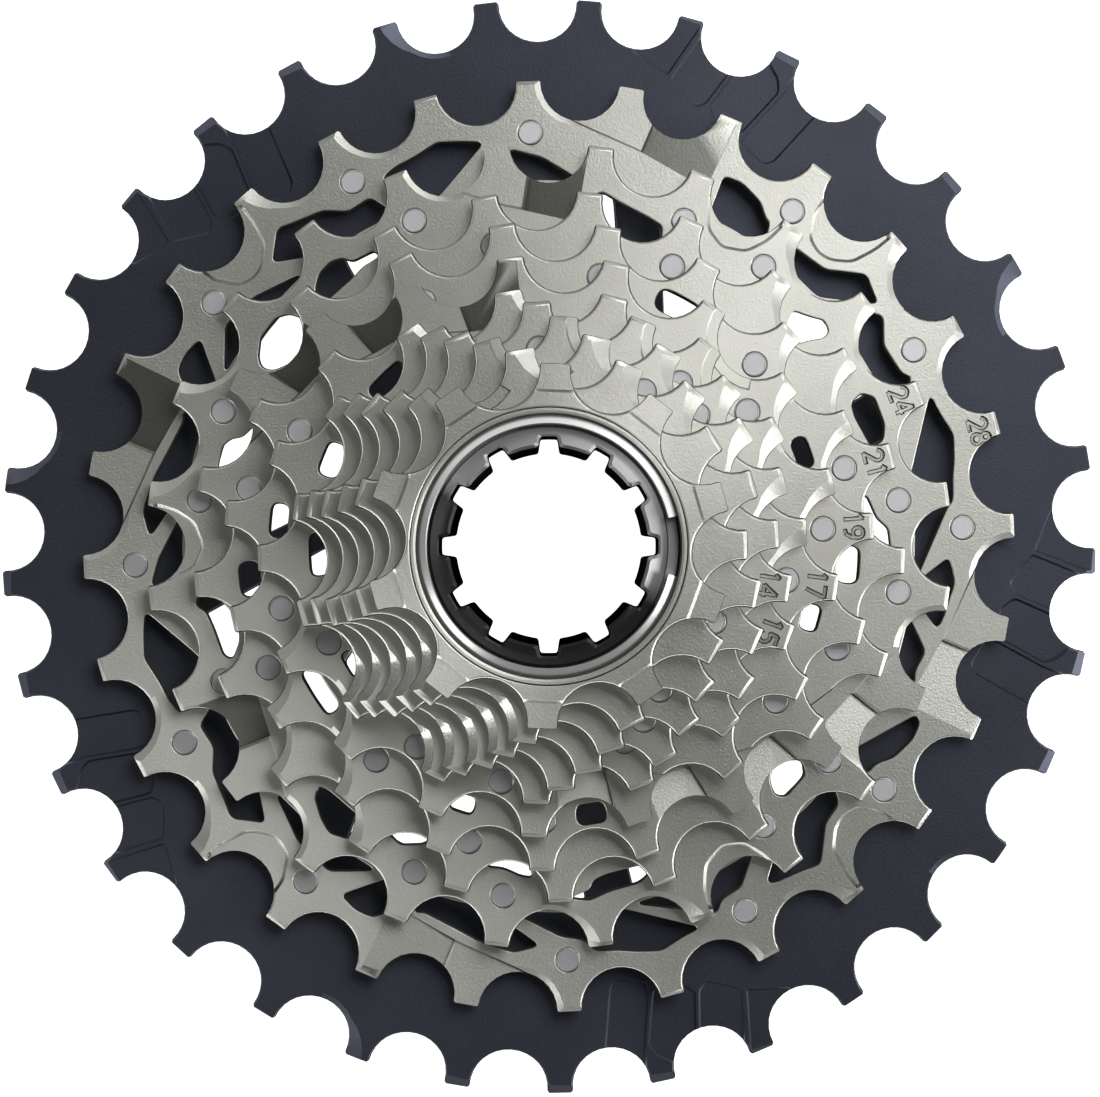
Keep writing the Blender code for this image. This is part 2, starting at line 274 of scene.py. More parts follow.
def linked(name, bm):
    """A new object in the scene, with its normals facing out."""
    bmesh.ops.recalc_face_normals(bm, faces=bm.faces)
    mesh = bpy.data.meshes.new(name)
    bm.to_mesh(mesh)
    bm.free()
    piece = bpy.data.objects.new(name, mesh)
    bpy.context.scene.collection.objects.link(piece)
    return piece


def to_object(name, bm, material, crease=CREASE):
    piece = linked(name, bm)
    piece.data.materials.append(material)
    shade(piece.data, crease)
    return piece


def plate(name, outer, holes, bottom, top, material, edge=EDGE):
    """A plate with every edge rounded: bands lead from its walls to the caps, which are inset."""
    loops = [wound(outer, True)] + [wound(hole, False) for hole in holes]
    bm = bmesh.new()
    caps = {bottom: [], top: []}
    for loop in loops:
        radius = edge if loop is loops[0] or len(loop) > 60 else min(edge, HOLE_EDGE)
        lean = PIN_HOLE_LEAN if len(loop) == PIN_SIDES else WALL_LEAN
        levels = [(FOOT_EDGE, bottom), (0.0, bottom + FOOT_EDGE)]
        for part in (0, 30, 60, 90):
            angle = math.radians(part)
            inset = lean + radius * (1 - math.cos(angle))
            levels.append((inset, top - radius * (1 - math.sin(angle))))
        rings = []
        for inset, height in levels:
            outline = offset(loop, inset) if inset else loop
            rings.append([vert(bm, x, y, height) for x, y in outline])
        skin(bm, rings)
        for height, ring in ((bottom, rings[0]), (top, rings[-1])):
            caps[height] += [bm.edges.get((ring[i - 1], ring[i])) for i in range(len(ring))]
    for edges in caps.values():
        bmesh.ops.triangle_fill(bm, use_beauty=True, edges=edges)
    return to_object(name, bm, material)


def turned(name, profile, sides, material, first=0.0, sweep=360.0):
    """A closed profile of (radius, height) points, turned about the axle."""
    whole = sweep >= 360.0
    columns = sides if whole else sides + 1
    bm = bmesh.new()
    rows = []
    for i in range(columns):
        angle = first + sweep * i / sides
        rows.append([vert(bm, *polar(r, angle), z) for r, z in profile])
    count = len(profile)
    for i in range(columns if whole else columns - 1):
        here, there = rows[i], rows[(i + 1) % columns]
        for j in range(count):
            k = (j + 1) % count
            bm.faces.new((here[j], there[j], there[k], here[k]))
    if not whole:
        bm.faces.new(rows[0])
        bm.faces.new(rows[-1])
    return to_object(name, bm, material, TURNED_CREASE)


def add_cutter(bm, points, depths, top, draft=0.0):
    """A cutter over a flat footprint. Each corner has its own depth; walls close in by the draft."""
    if area(points) < 0:
        points, depths = points[::-1], depths[::-1]
    inner = offset(points, draft) if draft else points
    high = [vert(bm, x, y, top + HEADROOM) for x, y in points]
    rim = [vert(bm, x, y, top) for x, y in points]
    floor = [vert(bm, *inner[i], top - depth) if depth else rim[i] for i, depth in enumerate(depths)]
    count = len(points)
    bm.faces.new(high)
    for i in range(count):
        k = (i + 1) % count
        bm.faces.new((high[i], rim[i], rim[k], high[k]))
        wall = [rim[i], floor[i], floor[k], rim[k]]
        wall = [v for j, v in enumerate(wall) if v not in wall[:j]]
        if len(wall) > 2:
            bm.faces.new(wall)
    bmesh.ops.triangulate(bm, faces=[bm.faces.new(floor[::-1])])


def add_flank_cutter(bm, teeth, tooth, widths, slope, top, step=0.0):
    """Shaves the trailing flank of a tooth, from its tip towards the bottom of the gullet.

    widths is a list of (turn about the gullet's centre, width of the shaved band). The band starts
    with a step down, if any, and slopes towards the gullet.
    """
    gap = PHASE[teeth] + 360.0 * (tooth - 0.5) / teeth
    sections = []
    for turn, width in widths:
        edge = gullet_point(teeth, gap, turn, GULLET_RADIUS + width)
        foot = gullet_point(teeth, gap, turn, GULLET_RADIUS + max(width - step * 0.6, 0.01))
        out = gullet_point(teeth, gap, turn, GULLET_RADIUS - FLANK_REACH)
        low = top - step - slope * (width + FLANK_REACH)
        corners = [(*edge, top), (*foot, top - step - 0.001), (*out, low),
                   (*out, top + HEADROOM), (*edge, top + HEADROOM)]
        sections.append([vert(bm, *corner) for corner in corners])
    count = len(sections[0])
    for here, there in zip(sections, sections[1:]):
        for j in range(count):
            k = (j + 1) % count
            bm.faces.new((here[j], here[k], there[k], there[j]))
    bm.faces.new(sections[0])
    bm.faces.new(sections[-1])


def across_tooth(angle, corners):
    """A footprint over a tooth, from the (distance across, radius) of its corners."""
    points = []
    for across, radius in corners:
        x, y = polar(radius, angle)
        dx, dy = polar(across, angle + 90)
        points.append((x + dx, y + dy))
    return points


def add_tip_cutter(bm, teeth, tooth, width, drop, top, lean=0.0):
    """Slopes the end of a tooth down over a given width; lean turns the fold line."""
    tip_radius = pitch_radius(teeth) + TIP[teeth]
    ends = [(-TIP_HALF_WIDTH, -width - lean), (TIP_HALF_WIDTH, -width + lean),
            (TIP_HALF_WIDTH, HEADROOM), (-TIP_HALF_WIDTH, HEADROOM)]
    corners = [(across, tip_radius + out) for across, out in ends]
    points = across_tooth(PHASE[teeth] + 360.0 * tooth / teeth, corners)
    fall = drop / width * (width + HEADROOM)
    add_cutter(bm, points, [0.02, 0.02, fall, fall], top)


def combine(piece, others, operation):
    """Unites a piece with others or takes them away from it, and keeps its broken edges sharp."""
    for other in others:
        modifier = piece.modifiers.new("combine", "BOOLEAN")
        modifier.operation = operation
        modifier.solver = "EXACT"
        modifier.use_self = operation == "DIFFERENCE"
        modifier.object = other
    bpy.context.view_layer.update()
    depsgraph = bpy.context.evaluated_depsgraph_get()
    mesh = bpy.data.meshes.new_from_object(piece.evaluated_get(depsgraph))
    piece.modifiers.clear()
    piece.data = mesh
    shade(mesh, CREASE)
    for other in others:
        bpy.data.objects.remove(other)


def cut(piece, tools):
    combine(piece, [linked("cutters", tools)], "DIFFERENCE")


def place(piece, node, body):
    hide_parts(*([node] if node else []))
    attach(piece, body)


# ------------------------------ materials

KEY_AZIMUTH = 48              # the side that the main light comes from, which the ramps' painted shade also follows
EDGE_SHADE_SIDE = 80           # broken edges that lean this way are painted in shade, those that lean the other way get a painted highlight
BRIGHT_SIDE = 62              # middle of the studio's brighter half, and of the lit half painted on the lock tube
SPECKLE_DEPTH = 0.00004       # in metres


def feed(tree, target, value):
    """Sets an input to a value, or links it to another node's socket."""
    if isinstance(value, bpy.types.NodeSocket):
        tree.links.new(value, target)
    else:
        target.default_value = value


def new_node(tree, kind, inputs=None, **settings):
    """A shader node; its inputs go by name or number, and are values or other nodes' sockets."""
    node = tree.nodes.new("ShaderNode" + kind)
    for name, value in settings.items():
        setattr(node, name, value)
    for key, value in (inputs or {}).items():
        feed(tree, node.inputs[key], value)
    return node


def node_material(name, color, roughness, metallic=1.0):
    material = bpy.data.materials.new(name)
    material.use_nodes = True
    shader = material.node_tree.nodes["Principled BSDF"]
    shader.inputs["Base Color"].default_value = (*color, 1.0)
    shader.inputs["Metallic"].default_value = metallic
    shader.inputs["Roughness"].default_value = roughness
    return material, material.node_tree, shader


def ramp_of(tree, source, stops):
    """A colour that follows a value; stops are (value, grey) or (value, colour) pairs."""
    ramp = new_node(tree, "ValToRGB", {"Fac": source})
    elements = ramp.color_ramp.elements
    while len(elements) < len(stops):
        elements.new(0.5)
    for element, (position, color) in zip(elements, stops):
        element.position = position
        element.color = (*color, 1.0) if isinstance(color, tuple) else (color, color, color, 1.0)
    return ramp.outputs["Color"]


def noise(tree, scale, detail, roughness):
    place_node = new_node(tree, "TexCoord")
    cloud = new_node(tree, "TexNoise", {"Vector": place_node.outputs["Object"], "Scale": scale,
                                        "Detail": detail, "Roughness": roughness})
    return cloud.outputs["Fac"]


def speckled(tree, shader, strength, scale, roughness):
    """A fine speckle in the bump."""
    bump = new_node(tree, "Bump", {"Strength": strength, "Distance": SPECKLE_DEPTH,
                                   "Height": noise(tree, scale, 3.0, roughness)})
    tree.links.new(bump.outputs["Normal"], shader.inputs["Normal"])


def turned_grain(tree, shader, anisotropy, strength):
    """Machining marks round the axle, as a stretched shine and a fine speckle."""
    tangent = new_node(tree, "Tangent", direction_type="RADIAL", axis="Z")
    tree.links.new(tangent.outputs["Tangent"], shader.inputs["Tangent"])
    shader.inputs["Anisotropic"].default_value = anisotropy
    shader.inputs["Anisotropic Rotation"].default_value = 0.25
    speckled(tree, shader, strength, 4200.0, 0.6)


def tinted(tree, shader, dark, light, scale):
    """A slow drift of colour across the surface."""
    color = ramp_of(tree, noise(tree, scale, 4.0, 0.55), [(0.3, dark), (0.7, light)])
    tree.links.new(color, shader.inputs["Base Color"])


def tilt_of_face(tree):
    """How far a face leans from level, as the sine of its angle."""
    place_node = new_node(tree, "TexCoord")
    up = new_node(tree, "SeparateXYZ", {"Vector": place_node.outputs["Normal"]}).outputs["Z"]
    square = new_node(tree, "Math", {0: up, 1: up}, operation="MULTIPLY")
    rest = new_node(tree, "Math", {0: 1.0, 1: square.outputs["Value"]}, operation="SUBTRACT")
    root = new_node(tree, "Math", {0: rest.outputs["Value"]}, operation="SQRT", use_clamp=True)
    return root.outputs["Value"]


def product(tree, color, factor, share=1.0):
    """A colour scaled by a factor, but only as far as the share says."""
    mix = new_node(tree, "Mix", {"Factor": share, 6: color, 7: factor}, data_type="RGBA",
                   blend_type="MULTIPLY")
    return mix.outputs[2]


def scaled(tree, shader, factor, share=1.0):
    """Scales whatever feeds the base colour."""
    target = shader.inputs["Base Color"]
    tree.links.new(product(tree, target.links[0].from_socket, factor, share), target)


def dull_walls(tree, shader, tilt):
    """Upright walls lose the metal's shine at a low angle, so that they stay as dark as the painted shade
    on them.
    """
    for name, level in (("Metallic", 1.0), ("Specular IOR Level", 0.5)):
        tree.links.new(ramp_of(tree, tilt, [(0.9, level), (0.97, 0.0)]), shader.inputs[name])


def facing(tree, azimuth, reach, away, towards):
    """A factor for the colour, from faces that lean away from an azimuth to those that lean to it."""
    place_node = new_node(tree, "TexCoord")
    dot = new_node(tree, "VectorMath", {0: place_node.outputs["Normal"], 1: (*polar(1.0, azimuth), 0.0)},
                   operation="DOT_PRODUCT")
    spread = new_node(tree, "MapRange", {"Value": dot.outputs["Value"], "From Min": -reach,
                                         "From Max": reach, "To Min": away, "To Max": towards})
    return spread.outputs["Result"]


def side_of(tree, direction, azimuth):
    """Where a level direction points, from 0 straight away from an azimuth to 1 along it."""
    dot = new_node(tree, "VectorMath", {0: direction, 1: (*polar(0.5, azimuth), 0.0)},
                   operation="DOT_PRODUCT")
    return new_node(tree, "Math", {0: dot.outputs["Value"], 1: 0.5}, operation="ADD").outputs["Value"]


def make_steel():
    """Nickel-plated steel: level faces are matt, coined ramps smoother, shaved edges smoother and bright;
    the ramps, edges and walls carry painted light and shade by the way they lean.
    """
    material, tree, shader = node_material("nickel_plated_steel", (0.60, 0.60, 0.55), 0.4)
    turned_grain(tree, shader, 0.6, 0.75)
    tinted(tree, shader, (0.58, 0.58, 0.53), (0.64, 0.64, 0.59), 90.0)
    tilt = tilt_of_face(tree)
    # painted shade on the coined ramps: deeper where a ramp leans away from the key light, lighter where it
    # leans towards it
    on_ramp = ramp_of(tree, tilt, [(0.02, 0.0), (0.035, 1.0), (0.13, 1.0), (0.2, 0.0)])
    scaled(tree, shader, facing(tree, KEY_AZIMUTH, 0.04, 0.42, 0.85), on_ramp)
    # painted highlight and painted shade on the broken edges, by which way they lean
    on_edge = ramp_of(tree, tilt, [(0.2, 0.0), (0.5, 1.0), (0.9, 1.0), (0.96, 0.0)])
    scaled(tree, shader, facing(tree, EDGE_SHADE_SIDE, 0.3, 1.6, 0.42), on_edge)
    # painted shade: upright walls painted nearly black
    scaled(tree, shader, ramp_of(tree, tilt, [(0.88, 1.0), (0.96, 0.08)]))
    roughness = ramp_of(tree, tilt, [(0.02, 0.42), (0.2, 0.4), (0.45, 0.38), (0.6, 0.24), (0.8, 0.24),
                                     (0.97, 0.6)])
    tree.links.new(roughness, shader.inputs["Roughness"])
    dull_walls(tree, shader, tilt)
    return material


def make_anodised():
    material, tree, shader = node_material("blue_black_anodised", (0.04, 0.043, 0.055), 0.5)
    turned_grain(tree, shader, 0.35, 0.6)
    tinted(tree, shader, (0.052, 0.056, 0.072), (0.064, 0.069, 0.088), 60.0)
    tilt = tilt_of_face(tree)
    # painted light and shade: leaning faces painted up to twice as bright as a painted highlight, upright
    # walls painted darker as painted shade
    scaled(tree, shader, ramp_of(tree, tilt, [(0.02, 1.0), (0.3, 1.8), (0.9, 2.0), (0.97, 0.3)]))
    dull_walls(tree, shader, tilt)
    return material


def make_pin_steel():
    material, tree, shader = node_material("pin_steel", (0.64, 0.635, 0.65), 0.42)
    speckled(tree, shader, 0.3, 3000.0, 0.5)
    return material


def make_dark_tube():
    """A grey tube with painted shade over the half away from the studio's brighter side, which stays on
    that side whichever way the tube turns.
    """
    material, tree, shader = node_material("grey_tube_painted_half_shade", (0.12, 0.12, 0.12), 0.45)
    turned_grain(tree, shader, 0.0, 0.08)
    tinted(tree, shader, (0.34, 0.34, 0.345), (0.38, 0.38, 0.385), 120.0)
    tilt = tilt_of_face(tree)
    # painted shade: upright walls painted nearly black
    scaled(tree, shader, ramp_of(tree, tilt, [(0.5, 1.0), (0.9, 1.0), (0.97, 0.02)]))
    # painted shade over the half of the tube that faces away from the studio's brighter side, set by world
    # position
    position = new_node(tree, "NewGeometry").outputs["Position"]
    level = new_node(tree, "VectorMath", {0: position, 1: (1.0, 1.0, 0.0)}, operation="MULTIPLY")
    outward = new_node(tree, "VectorMath", {0: level.outputs["Vector"]}, operation="NORMALIZE")
    side = side_of(tree, outward.outputs["Vector"], BRIGHT_SIDE)
    scaled(tree, shader, ramp_of(tree, side, [(0.48, 0.1), (0.58, 1.0)]))
    dull_walls(tree, shader, tilt)
    return material


def make_spring_steel():
    material, tree, shader = node_material("spring_steel", (0.95, 0.95, 0.94), 0.3)
    turned_grain(tree, shader, 0.0, 0.04)
    return material


# ------------------------------ windows

# The rim of the 28-tooth sprocket is scalloped inside; this repeats every quarter turn.
RIM_28 = [(0, 47.8), (5, 48.6), (6.5, 50.1), (10, 50.5), (12, 51.0), (15.5, 51.7), (19, 50.8),
          (22, 50.5), (24.5, 49.8), (26, 48.4), (31, 48.1), (34, 49.9), (38, 50.7), (40.5, 51.5),
          (43, 49.6), (45, 48.2), (50, 47.6), (56.5, 48.4), (58.5, 49.8), (62, 50.7), (64.5, 50.6),
          (65.5, 49.6), (71, 47.6), (76, 48.4), (80, 49.4), (85, 50.2), (88.5, 49.2)]
# Its windows between spokes: first and last angle at the inner ring, then at the rim.
SPOKED_28 = [
    (354.8, 370.5, 365.8, 381.4), (21, 41, 25, 34.6), (43, 52.5, 36.6, 50.6), (54.5, 64, 55.8, 64.6),
    (85.5, 98, 91, 95.6), (107.5, 112, 99.4, 114.2), (115, 127, 117.2, 134),
    (132.5, 151.5, 139.8, 145.6), (154.5, 156, 149.4, 155.8), (159.8, 170.2, 159.6, 178.4),
    (174.8, 185.5, 181.8, 185.6), (197.5, 201, 189.4, 204.4), (204.8, 216.5, 207.2, 224),
    (222.5, 241.5, 229.6, 235.8), (244.5, 246, 239.4, 246.0), (249.8, 260.2, 249.8, 268.4),
    (264.8, 280.5, 271.8, 291.4), (284, 303.5, 294.6, 299.4), (309.8, 320.2, 303.2, 318.4),
    (321, 326.5, 324.5, 335.2), (336, 348.6, 339.4, 344.4), (352.5, 354, 348.2, 358.2),
]
INNER_28 = 45.4

# The windows of the other sprockets: corners as (angle, radius), or plain sectors.
WINDOWS = {
    24: [
        [(-5, 38.8), (-5, 41.2), (-2, 42.0), (3, 41.6), (4.8, 40.3), (9, 39.4), (9, 38.6)],
        [(17.3, 41.4), (17.6, 42.9), (20, 43.7), (24.6, 43.8), (26, 42.7), (25.4, 41.1), (23, 40.8)],
        [(37.2, 42.2), (37.4, 43.3), (39.4, 43.7), (41, 42.8), (44, 41.6), (42.5, 39.4), (39.3, 39.2),
         (38.2, 41.0)],
        [(70, 40.0), (70.5, 41.6), (74, 42.2), (78, 42.9), (81.5, 43.9), (83, 43.0), (82, 40.8),
         (78, 38.9), (72, 38.8)],
        [(120.4, 41.3), (120.6, 42.0), (124.6, 42.3), (125.6, 43.4), (127.5, 43.9), (130, 43.7),
         (132.4, 42.4), (132.6, 40.7), (126, 40.9), (123.8, 41.3)],
        [(137.2, 41.0), (138.2, 42.7), (140, 43.6), (144, 43.6), (147, 42.4), (148, 41.4), (147.4, 40.2),
         (145, 39.1), (141, 38.9), (138.5, 39.7)],
        [(157.6, 39.0), (160.4, 39.9), (161.4, 41.2), (163, 41.9), (167, 41.7), (167, 40.0), (164, 38.7),
         (160, 38.4)],
        [(187.3, 43.2), (189.4, 43.8), (190.7, 42.7), (194, 42.2), (198.5, 42.0), (199.5, 41.2),
         (197, 39.8), (193, 39.3), (190, 40.6), (188.2, 42.2)],
        [(226.0, 40.8), (227, 42.1), (230, 43.5), (232.5, 44.3), (235.6, 43.5), (236.7, 41.8),
         (235.2, 40.5), (228, 40.3)],
        [(240.8, 40.2), (243.5, 40.8), (247.2, 39.5), (248.2, 38.0), (244.5, 37.9), (241.8, 39.1)],
        [(259.0, 39.9), (262, 39.8), (265.2, 40.5), (267.2, 40.6), (266.2, 39.0), (262.5, 38.5)],
        [(273.8, 43.2), (276.5, 43.6), (280, 42.8), (285, 42.6), (287, 41.9), (286, 40.8), (280, 40.9),
         (277.6, 41.4), (276.9, 42.5)],
        [(312.4, 41.3), (313.5, 42.2), (318.4, 42.0), (319.6, 40.6), (317.6, 39.1), (315, 38.8),
         (313.2, 39.8)],
    ],
    21: [(183, 189.5, 35.4, 37.8), (353, 360, 35.2, 37.8)],
    19: [(17, 23.5, 31.8, 33.6), (57, 66.5, 31.6, 34.2), (171, 178, 31.8, 33.8), (207, 217.5, 31.8, 33.7),
         (249, 254, 31.8, 33.8), (276, 282, 31.6, 33.9), (342, 347.5, 31.8, 33.8)],
    17: [(128.6, 139.5, 26.7, 28.7), (154, 162.5, 26.8, 29.2), (176.8, 187.2, 26.7, 28.7),
         (207.5, 214, 26.9, 28.2)],
}


# The inner ring of the larger sprocket steps back behind these windows of the next smaller one.
NOTCHED_BEHIND = {28: 24, 24: 21, 21: 19, 19: 17}


def window_outline(window):
    if isinstance(window, tuple):
        return sector(*window)
    return rounded([polar(radius, angle) for angle, radius in window], 0.55, 3)


def window_extent(window):
    """A window's first and last angle, and its outer radius."""
    if isinstance(window, tuple):
        return window[0] % 360, window[0] % 360 + window[1] - window[0], window[3]
    first = min(angle for angle, radius in window)
    last = max(angle for angle, radius in window)
    return first % 360, first % 360 + last - first, max(radius for angle, radius in window)


def clear_of_pins(teeth, first, last):
    """Narrows a notch so that it stays clear of the rivets beside it."""
    for _, larger, radius, angles in PINS + EXTRA_PINS:
        if larger != teeth:
            continue
        margin = math.degrees((PIN_HOLE + 0.8) / radius) + 1.6
        for angle in angles:
            away = (angle - (first + last) / 2 + 180) % 360 - 180
            pin = (first + last) / 2 + away
            if away < 0:
                first = max(first, pin + margin)
            else:
                last = min(last, pin - margin)
    return first, last


def inner_edge(teeth):
    """The inner outline of a sprocket, notched wherever a window of the next one would show it."""
    radius = INNER[teeth]
    notches = []
    for window in WINDOWS.get(NOTCHED_BEHIND.get(teeth), []):
        first, last, outer = window_extent(window)
        first, last = clear_of_pins(teeth, first, last)
        if last - first > 3.0 and outer > radius + 0.6:
            notches.append((first, last, outer + 0.15))
    if not notches:
        return circle(radius, 96)
    notches.sort()
    points = []
    for notch, following in zip(notches, notches[1:] + [(notches[0][0] + 360, 0, 0)]):
        first, last, outer = notch
        points += rounded([polar(radius, first - 1.5), polar(outer, first - 0.4),
                           polar(outer, (first + last) / 2), polar(outer, last + 0.4),
                           polar(radius, last + 1.5)], 1.0, 3)[4:-4]
        start, end = last + 2.0, following[0] - 2.0
        if end > start:
            points += arc(radius, start, end, max(2, int((end - start) / 4)))
    return points


def windows_28():
    rim = [(quarter + angle, radius) for quarter in (0, 90, 180, 270, 360) for angle, radius in RIM_28]
    holes = []
    for first, last, rim_first, rim_last in SPOKED_28:
        ends = []
        for angle in (rim_first, rim_last):
            after = next(i for i, point in enumerate(rim) if point[0] >= angle)
            (a0, r0), (a1, r1) = rim[after - 1], rim[after]
            ends.append((angle, r0 + (r1 - r0) * (angle - a0) / (a1 - a0)))
        between = [point for point in rim if rim_first + 0.6 < point[0] < rim_last - 0.6]
        outer = [polar(radius, angle) for angle, radius in [ends[0]] + between + [ends[1]]]
        count = max(2, int((last - first) / 8) + 2)
        holes.append(rounded(arc(INNER_28, last, first, count) + outer, 0.7, 4))
    return holes


# ------------------------------ teeth and ramps

# How each sprocket's teeth are cut, counted from the one at its phase angle: the trailing flank
# shaved to a wide facet or to a narrow band, or a step concentric with the gullet behind the tooth.
FACETS = {
    28: [(q * 7 + k, w) for q in range(4) for k, w in ((0, 0.9), (2, 1.3), (3, 2.4))],
    24: [(q * 8 + k, w) for q in range(3) for k, w in ((7, 0.8), (2, 1.9), (3, 2.6))],
    21: [(1, 2.2), (2, 2.6), (12, 1.8), (13, 2.0)],
    19: [(1, 2.2), (2, 2.6), (11, 1.8), (12, 2.2)],
    17: [(1, 2.4), (2, 2.8), (10, 1.8), (11, 2.2)],
    15: [(0, 2.8), (1, 3.0), (4, 1.6), (5, 1.4)],
    14: [(0, 3.0), (1, 3.2)],
    13: [(1, 3.2), (2, 3.2)],
    12: [(1, 3.2), (2, 3.2)],
    11: [(2, 3.2), (3, 3.2)],
}
BANDS = {15: [9, 10], 14: [8, 9], 13: [8, 9], 12: [7, 8], 11: [7, 8]}
STEPS = {17: [3], 15: [2], 14: [2], 13: [3], 12: [3], 11: [4]}
LONG_TIPS = {15: range(6, 11), 14: range(4, 10), 13: range(4, 10), 12: range(4, 9), 11: range(5, 9),
             10: range(4, 8)}
FACET_SLOPE = 0.42            # fall of the shaved face, per millimetre
CHANNEL = 0.8                 # width of the groove that a facet ends in
BAND_WIDTH = 1.15
BAND_SLOPE = 0.7
BAND_END = 176.0              # turn about the gullet's centre at which a band runs out
STEP_WIDTH = 1.5
STEP_SLOPE = 0.02
STEP_DEPTH = 0.3
LONG_TIP = (0.8, 0.4)         # width and drop of the slope at a tip
SHORT_TIP = (0.6, 0.3)
RAMP_DEPTH = 0.7

# How the side of a larger sprocket is coined to lift the chain: where it repeats, the drafts of the
# recess and of the crescent, the crescent's depth, and corners as (angle, radius) of the recess under
# one tooth, of the slope up out of it and of the crescent under another gullet.
RAMPS = {
    28: (QUARTERS, 0.3, 0.42, 0.5,
         [(76.6, 49.9), (87.2, 52.6), (89.5, 55.5), (87.0, 60.0), (75.0, 60.0)],
         [(66.3, 48.2), (76.6, 49.9), (75.0, 60.0), (65.9, 60.0)],
         [(41.9, 57.1), (42.1, 54.3), (43.0, 51.2), (45.4, 49.4), (47.5, 49.0), (49.9, 49.7),
          (51.6, 52.4), (51.9, 56.5)]),
    24: ((0, 120, 240), 0.35, 0.4, 0.45,
         [(94.2, 41.3), (97.5, 42.0), (103.0, 44.1), (107.5, 46.4), (108.5, 49.0), (104.0, 52.5),
          (91.5, 52.5)],
         [(85.2, 39.9), (94.2, 41.3), (91.5, 52.5), (83.9, 52.5)],
         [(53.6, 48.9), (54.2, 46.0), (56.0, 43.4), (60.0, 42.2), (63.5, 43.4), (65.2, 46.2),
          (65.6, 49.0)]),
}


def large_ramps(tools, teeth, top):
    repeats, draft, crescent_draft, crescent_depth, *outlines = RAMPS[teeth]
    for turn in repeats:
        floor, slope, crescent = [[polar(r, a + turn) for a, r in outline] for outline in outlines]
        add_cutter(tools, floor, [RAMP_DEPTH] * len(floor), top, draft)
        add_cutter(tools, slope, [0, RAMP_DEPTH, RAMP_DEPTH, 0], top)
        hollow = rounded(crescent, 0.8, 3)
        add_cutter(tools, hollow, [crescent_depth] * len(hollow), top, crescent_draft)


# One ramp on a smaller sprocket: angles where its slope starts and ends, and its end beyond a tooth.
SMALL_RAMPS = {
    21: [(137.5, 148.0, 163.0), (308.5, 319.5, 335.0)],
    19: [(121.5, 132.0, 147.0), (292.0, 302.5, 317.0)],
    17: [(96.5, 110.0, 126.0), (272.0, 284.0, 298.0)],
}


def small_ramps(tools, teeth, top):
    root = pitch_radius(teeth) - ROLLER_SEAT
    inside = root - 3.2
    outside = root + 8.0
    for start, foot, end in SMALL_RAMPS.get(teeth, []):
        slope = [polar(inside - 0.6, start), polar(inside, foot), polar(outside, foot),
                 polar(outside, start)]
        floor = [polar(inside, foot), polar(root + 0.4, end), polar(outside, end), polar(outside, foot)]
        add_cutter(tools, slope, [0, RAMP_DEPTH, RAMP_DEPTH, 0], top)
        add_cutter(tools, floor, [RAMP_DEPTH] * 4, top, 0.25)


def bend(x, y, radius, first, last, count=9):
    return [(x + dx, y + dy) for dx, dy in arc(radius, first, last, count)]


# Pen strokes of each numeral, in a box one unit wide and 1.6 high.
STROKES = {
    "1": [[(0.25, 1.3), (0.55, 1.6), (0.55, 0.0)]],
    "2": [bend(0.5, 1.14, 0.46, 165, -25) + [(0.05, 0.0), (0.98, 0.0)]],
    "4": [[(0.75, 0.0), (0.75, 1.6), (0.0, 0.45), (1.0, 0.45)]],
    "5": [[(0.9, 1.6), (0.15, 1.6), (0.1, 0.9)] + bend(0.46, 0.5, 0.5, 125, -145, 10)],
    "7": [[(0.0, 1.6), (0.95, 1.6), (0.4, 0.0)]],
    "8": [bend(0.5, 1.22, 0.36, 0, 360, 13), bend(0.5, 0.42, 0.44, 0, 360, 13)],
    "9": [bend(0.5, 1.12, 0.46, 0, 360, 13), [(0.96, 1.12), (0.86, 0.5), (0.55, 0.08), (0.2, 0.0)]],
}
NUMERAL_UNIT = 1.4
NUMERAL_PITCH = 1.26          # in units
PEN = 0.27                    # half the width of a stroke
PEN_DEPTH = 0.45


def engrave(tools, teeth, radius, angle):
    """The sprocket's tooth count, cut into its face and read from outside it."""
    top = front_face(teeth)
    along = Vector(polar(1.0, angle - 90))
    up = Vector(polar(1.0, angle))
    middle = Vector(polar(radius, angle))
    text = str(teeth)
    for place_number, digit in enumerate(text):
        shift = (place_number - (len(text) - 1) / 2) * NUMERAL_PITCH - 0.5
        for stroke in STROKES[digit]:
            path = [middle + along * (x + shift) * NUMERAL_UNIT + up * (y - 0.8) * NUMERAL_UNIT
                    for x, y in stroke]
            for start, end in zip(path, path[1:]):
                direction = (end - start).normalized()
                side = Vector((-direction.y, direction.x))
                start, end = start - direction * PEN * 0.4, end + direction * PEN * 0.4
                corners = [start - side * PEN, end - side * PEN, end + side * PEN, start + side * PEN]
                points = [(corner.x, corner.y) for corner in corners]
                add_cutter(tools, points, [PEN_DEPTH] * 4, top, 0.12)


NUMERALS = {28: (55.0, 15.0), 24: (46.75, 22.5), 21: (41.05, 14.3), 19: (37.0, 3.9), 17: (32.5, 352.0),
            15: (28.3, 339.1), 14: (26.5, 350.3)}


def flank_turns(teeth, last, count):
    """Turns about a gullet's centre, from just past the tip of the tooth down to the last one."""
    start = tip_angle(teeth, pitch_radius(teeth) + TIP[teeth]) - 14
    return [start + (last - start) * i / (count - 1) for i in range(count)]


def facet_widths(teeth, at_tip):
    """A facet that narrows from the tip to a slim channel, which runs on past the bottom of the gullet."""
    turns = flank_turns(teeth, 190.0, 10)
    widths = []
    for i, turn in enumerate(turns):
        part = min(i / (len(turns) - 1) / 0.55, 1.0)
        widths.append((turn, at_tip + (CHANNEL - at_tip) * part))
    return widths


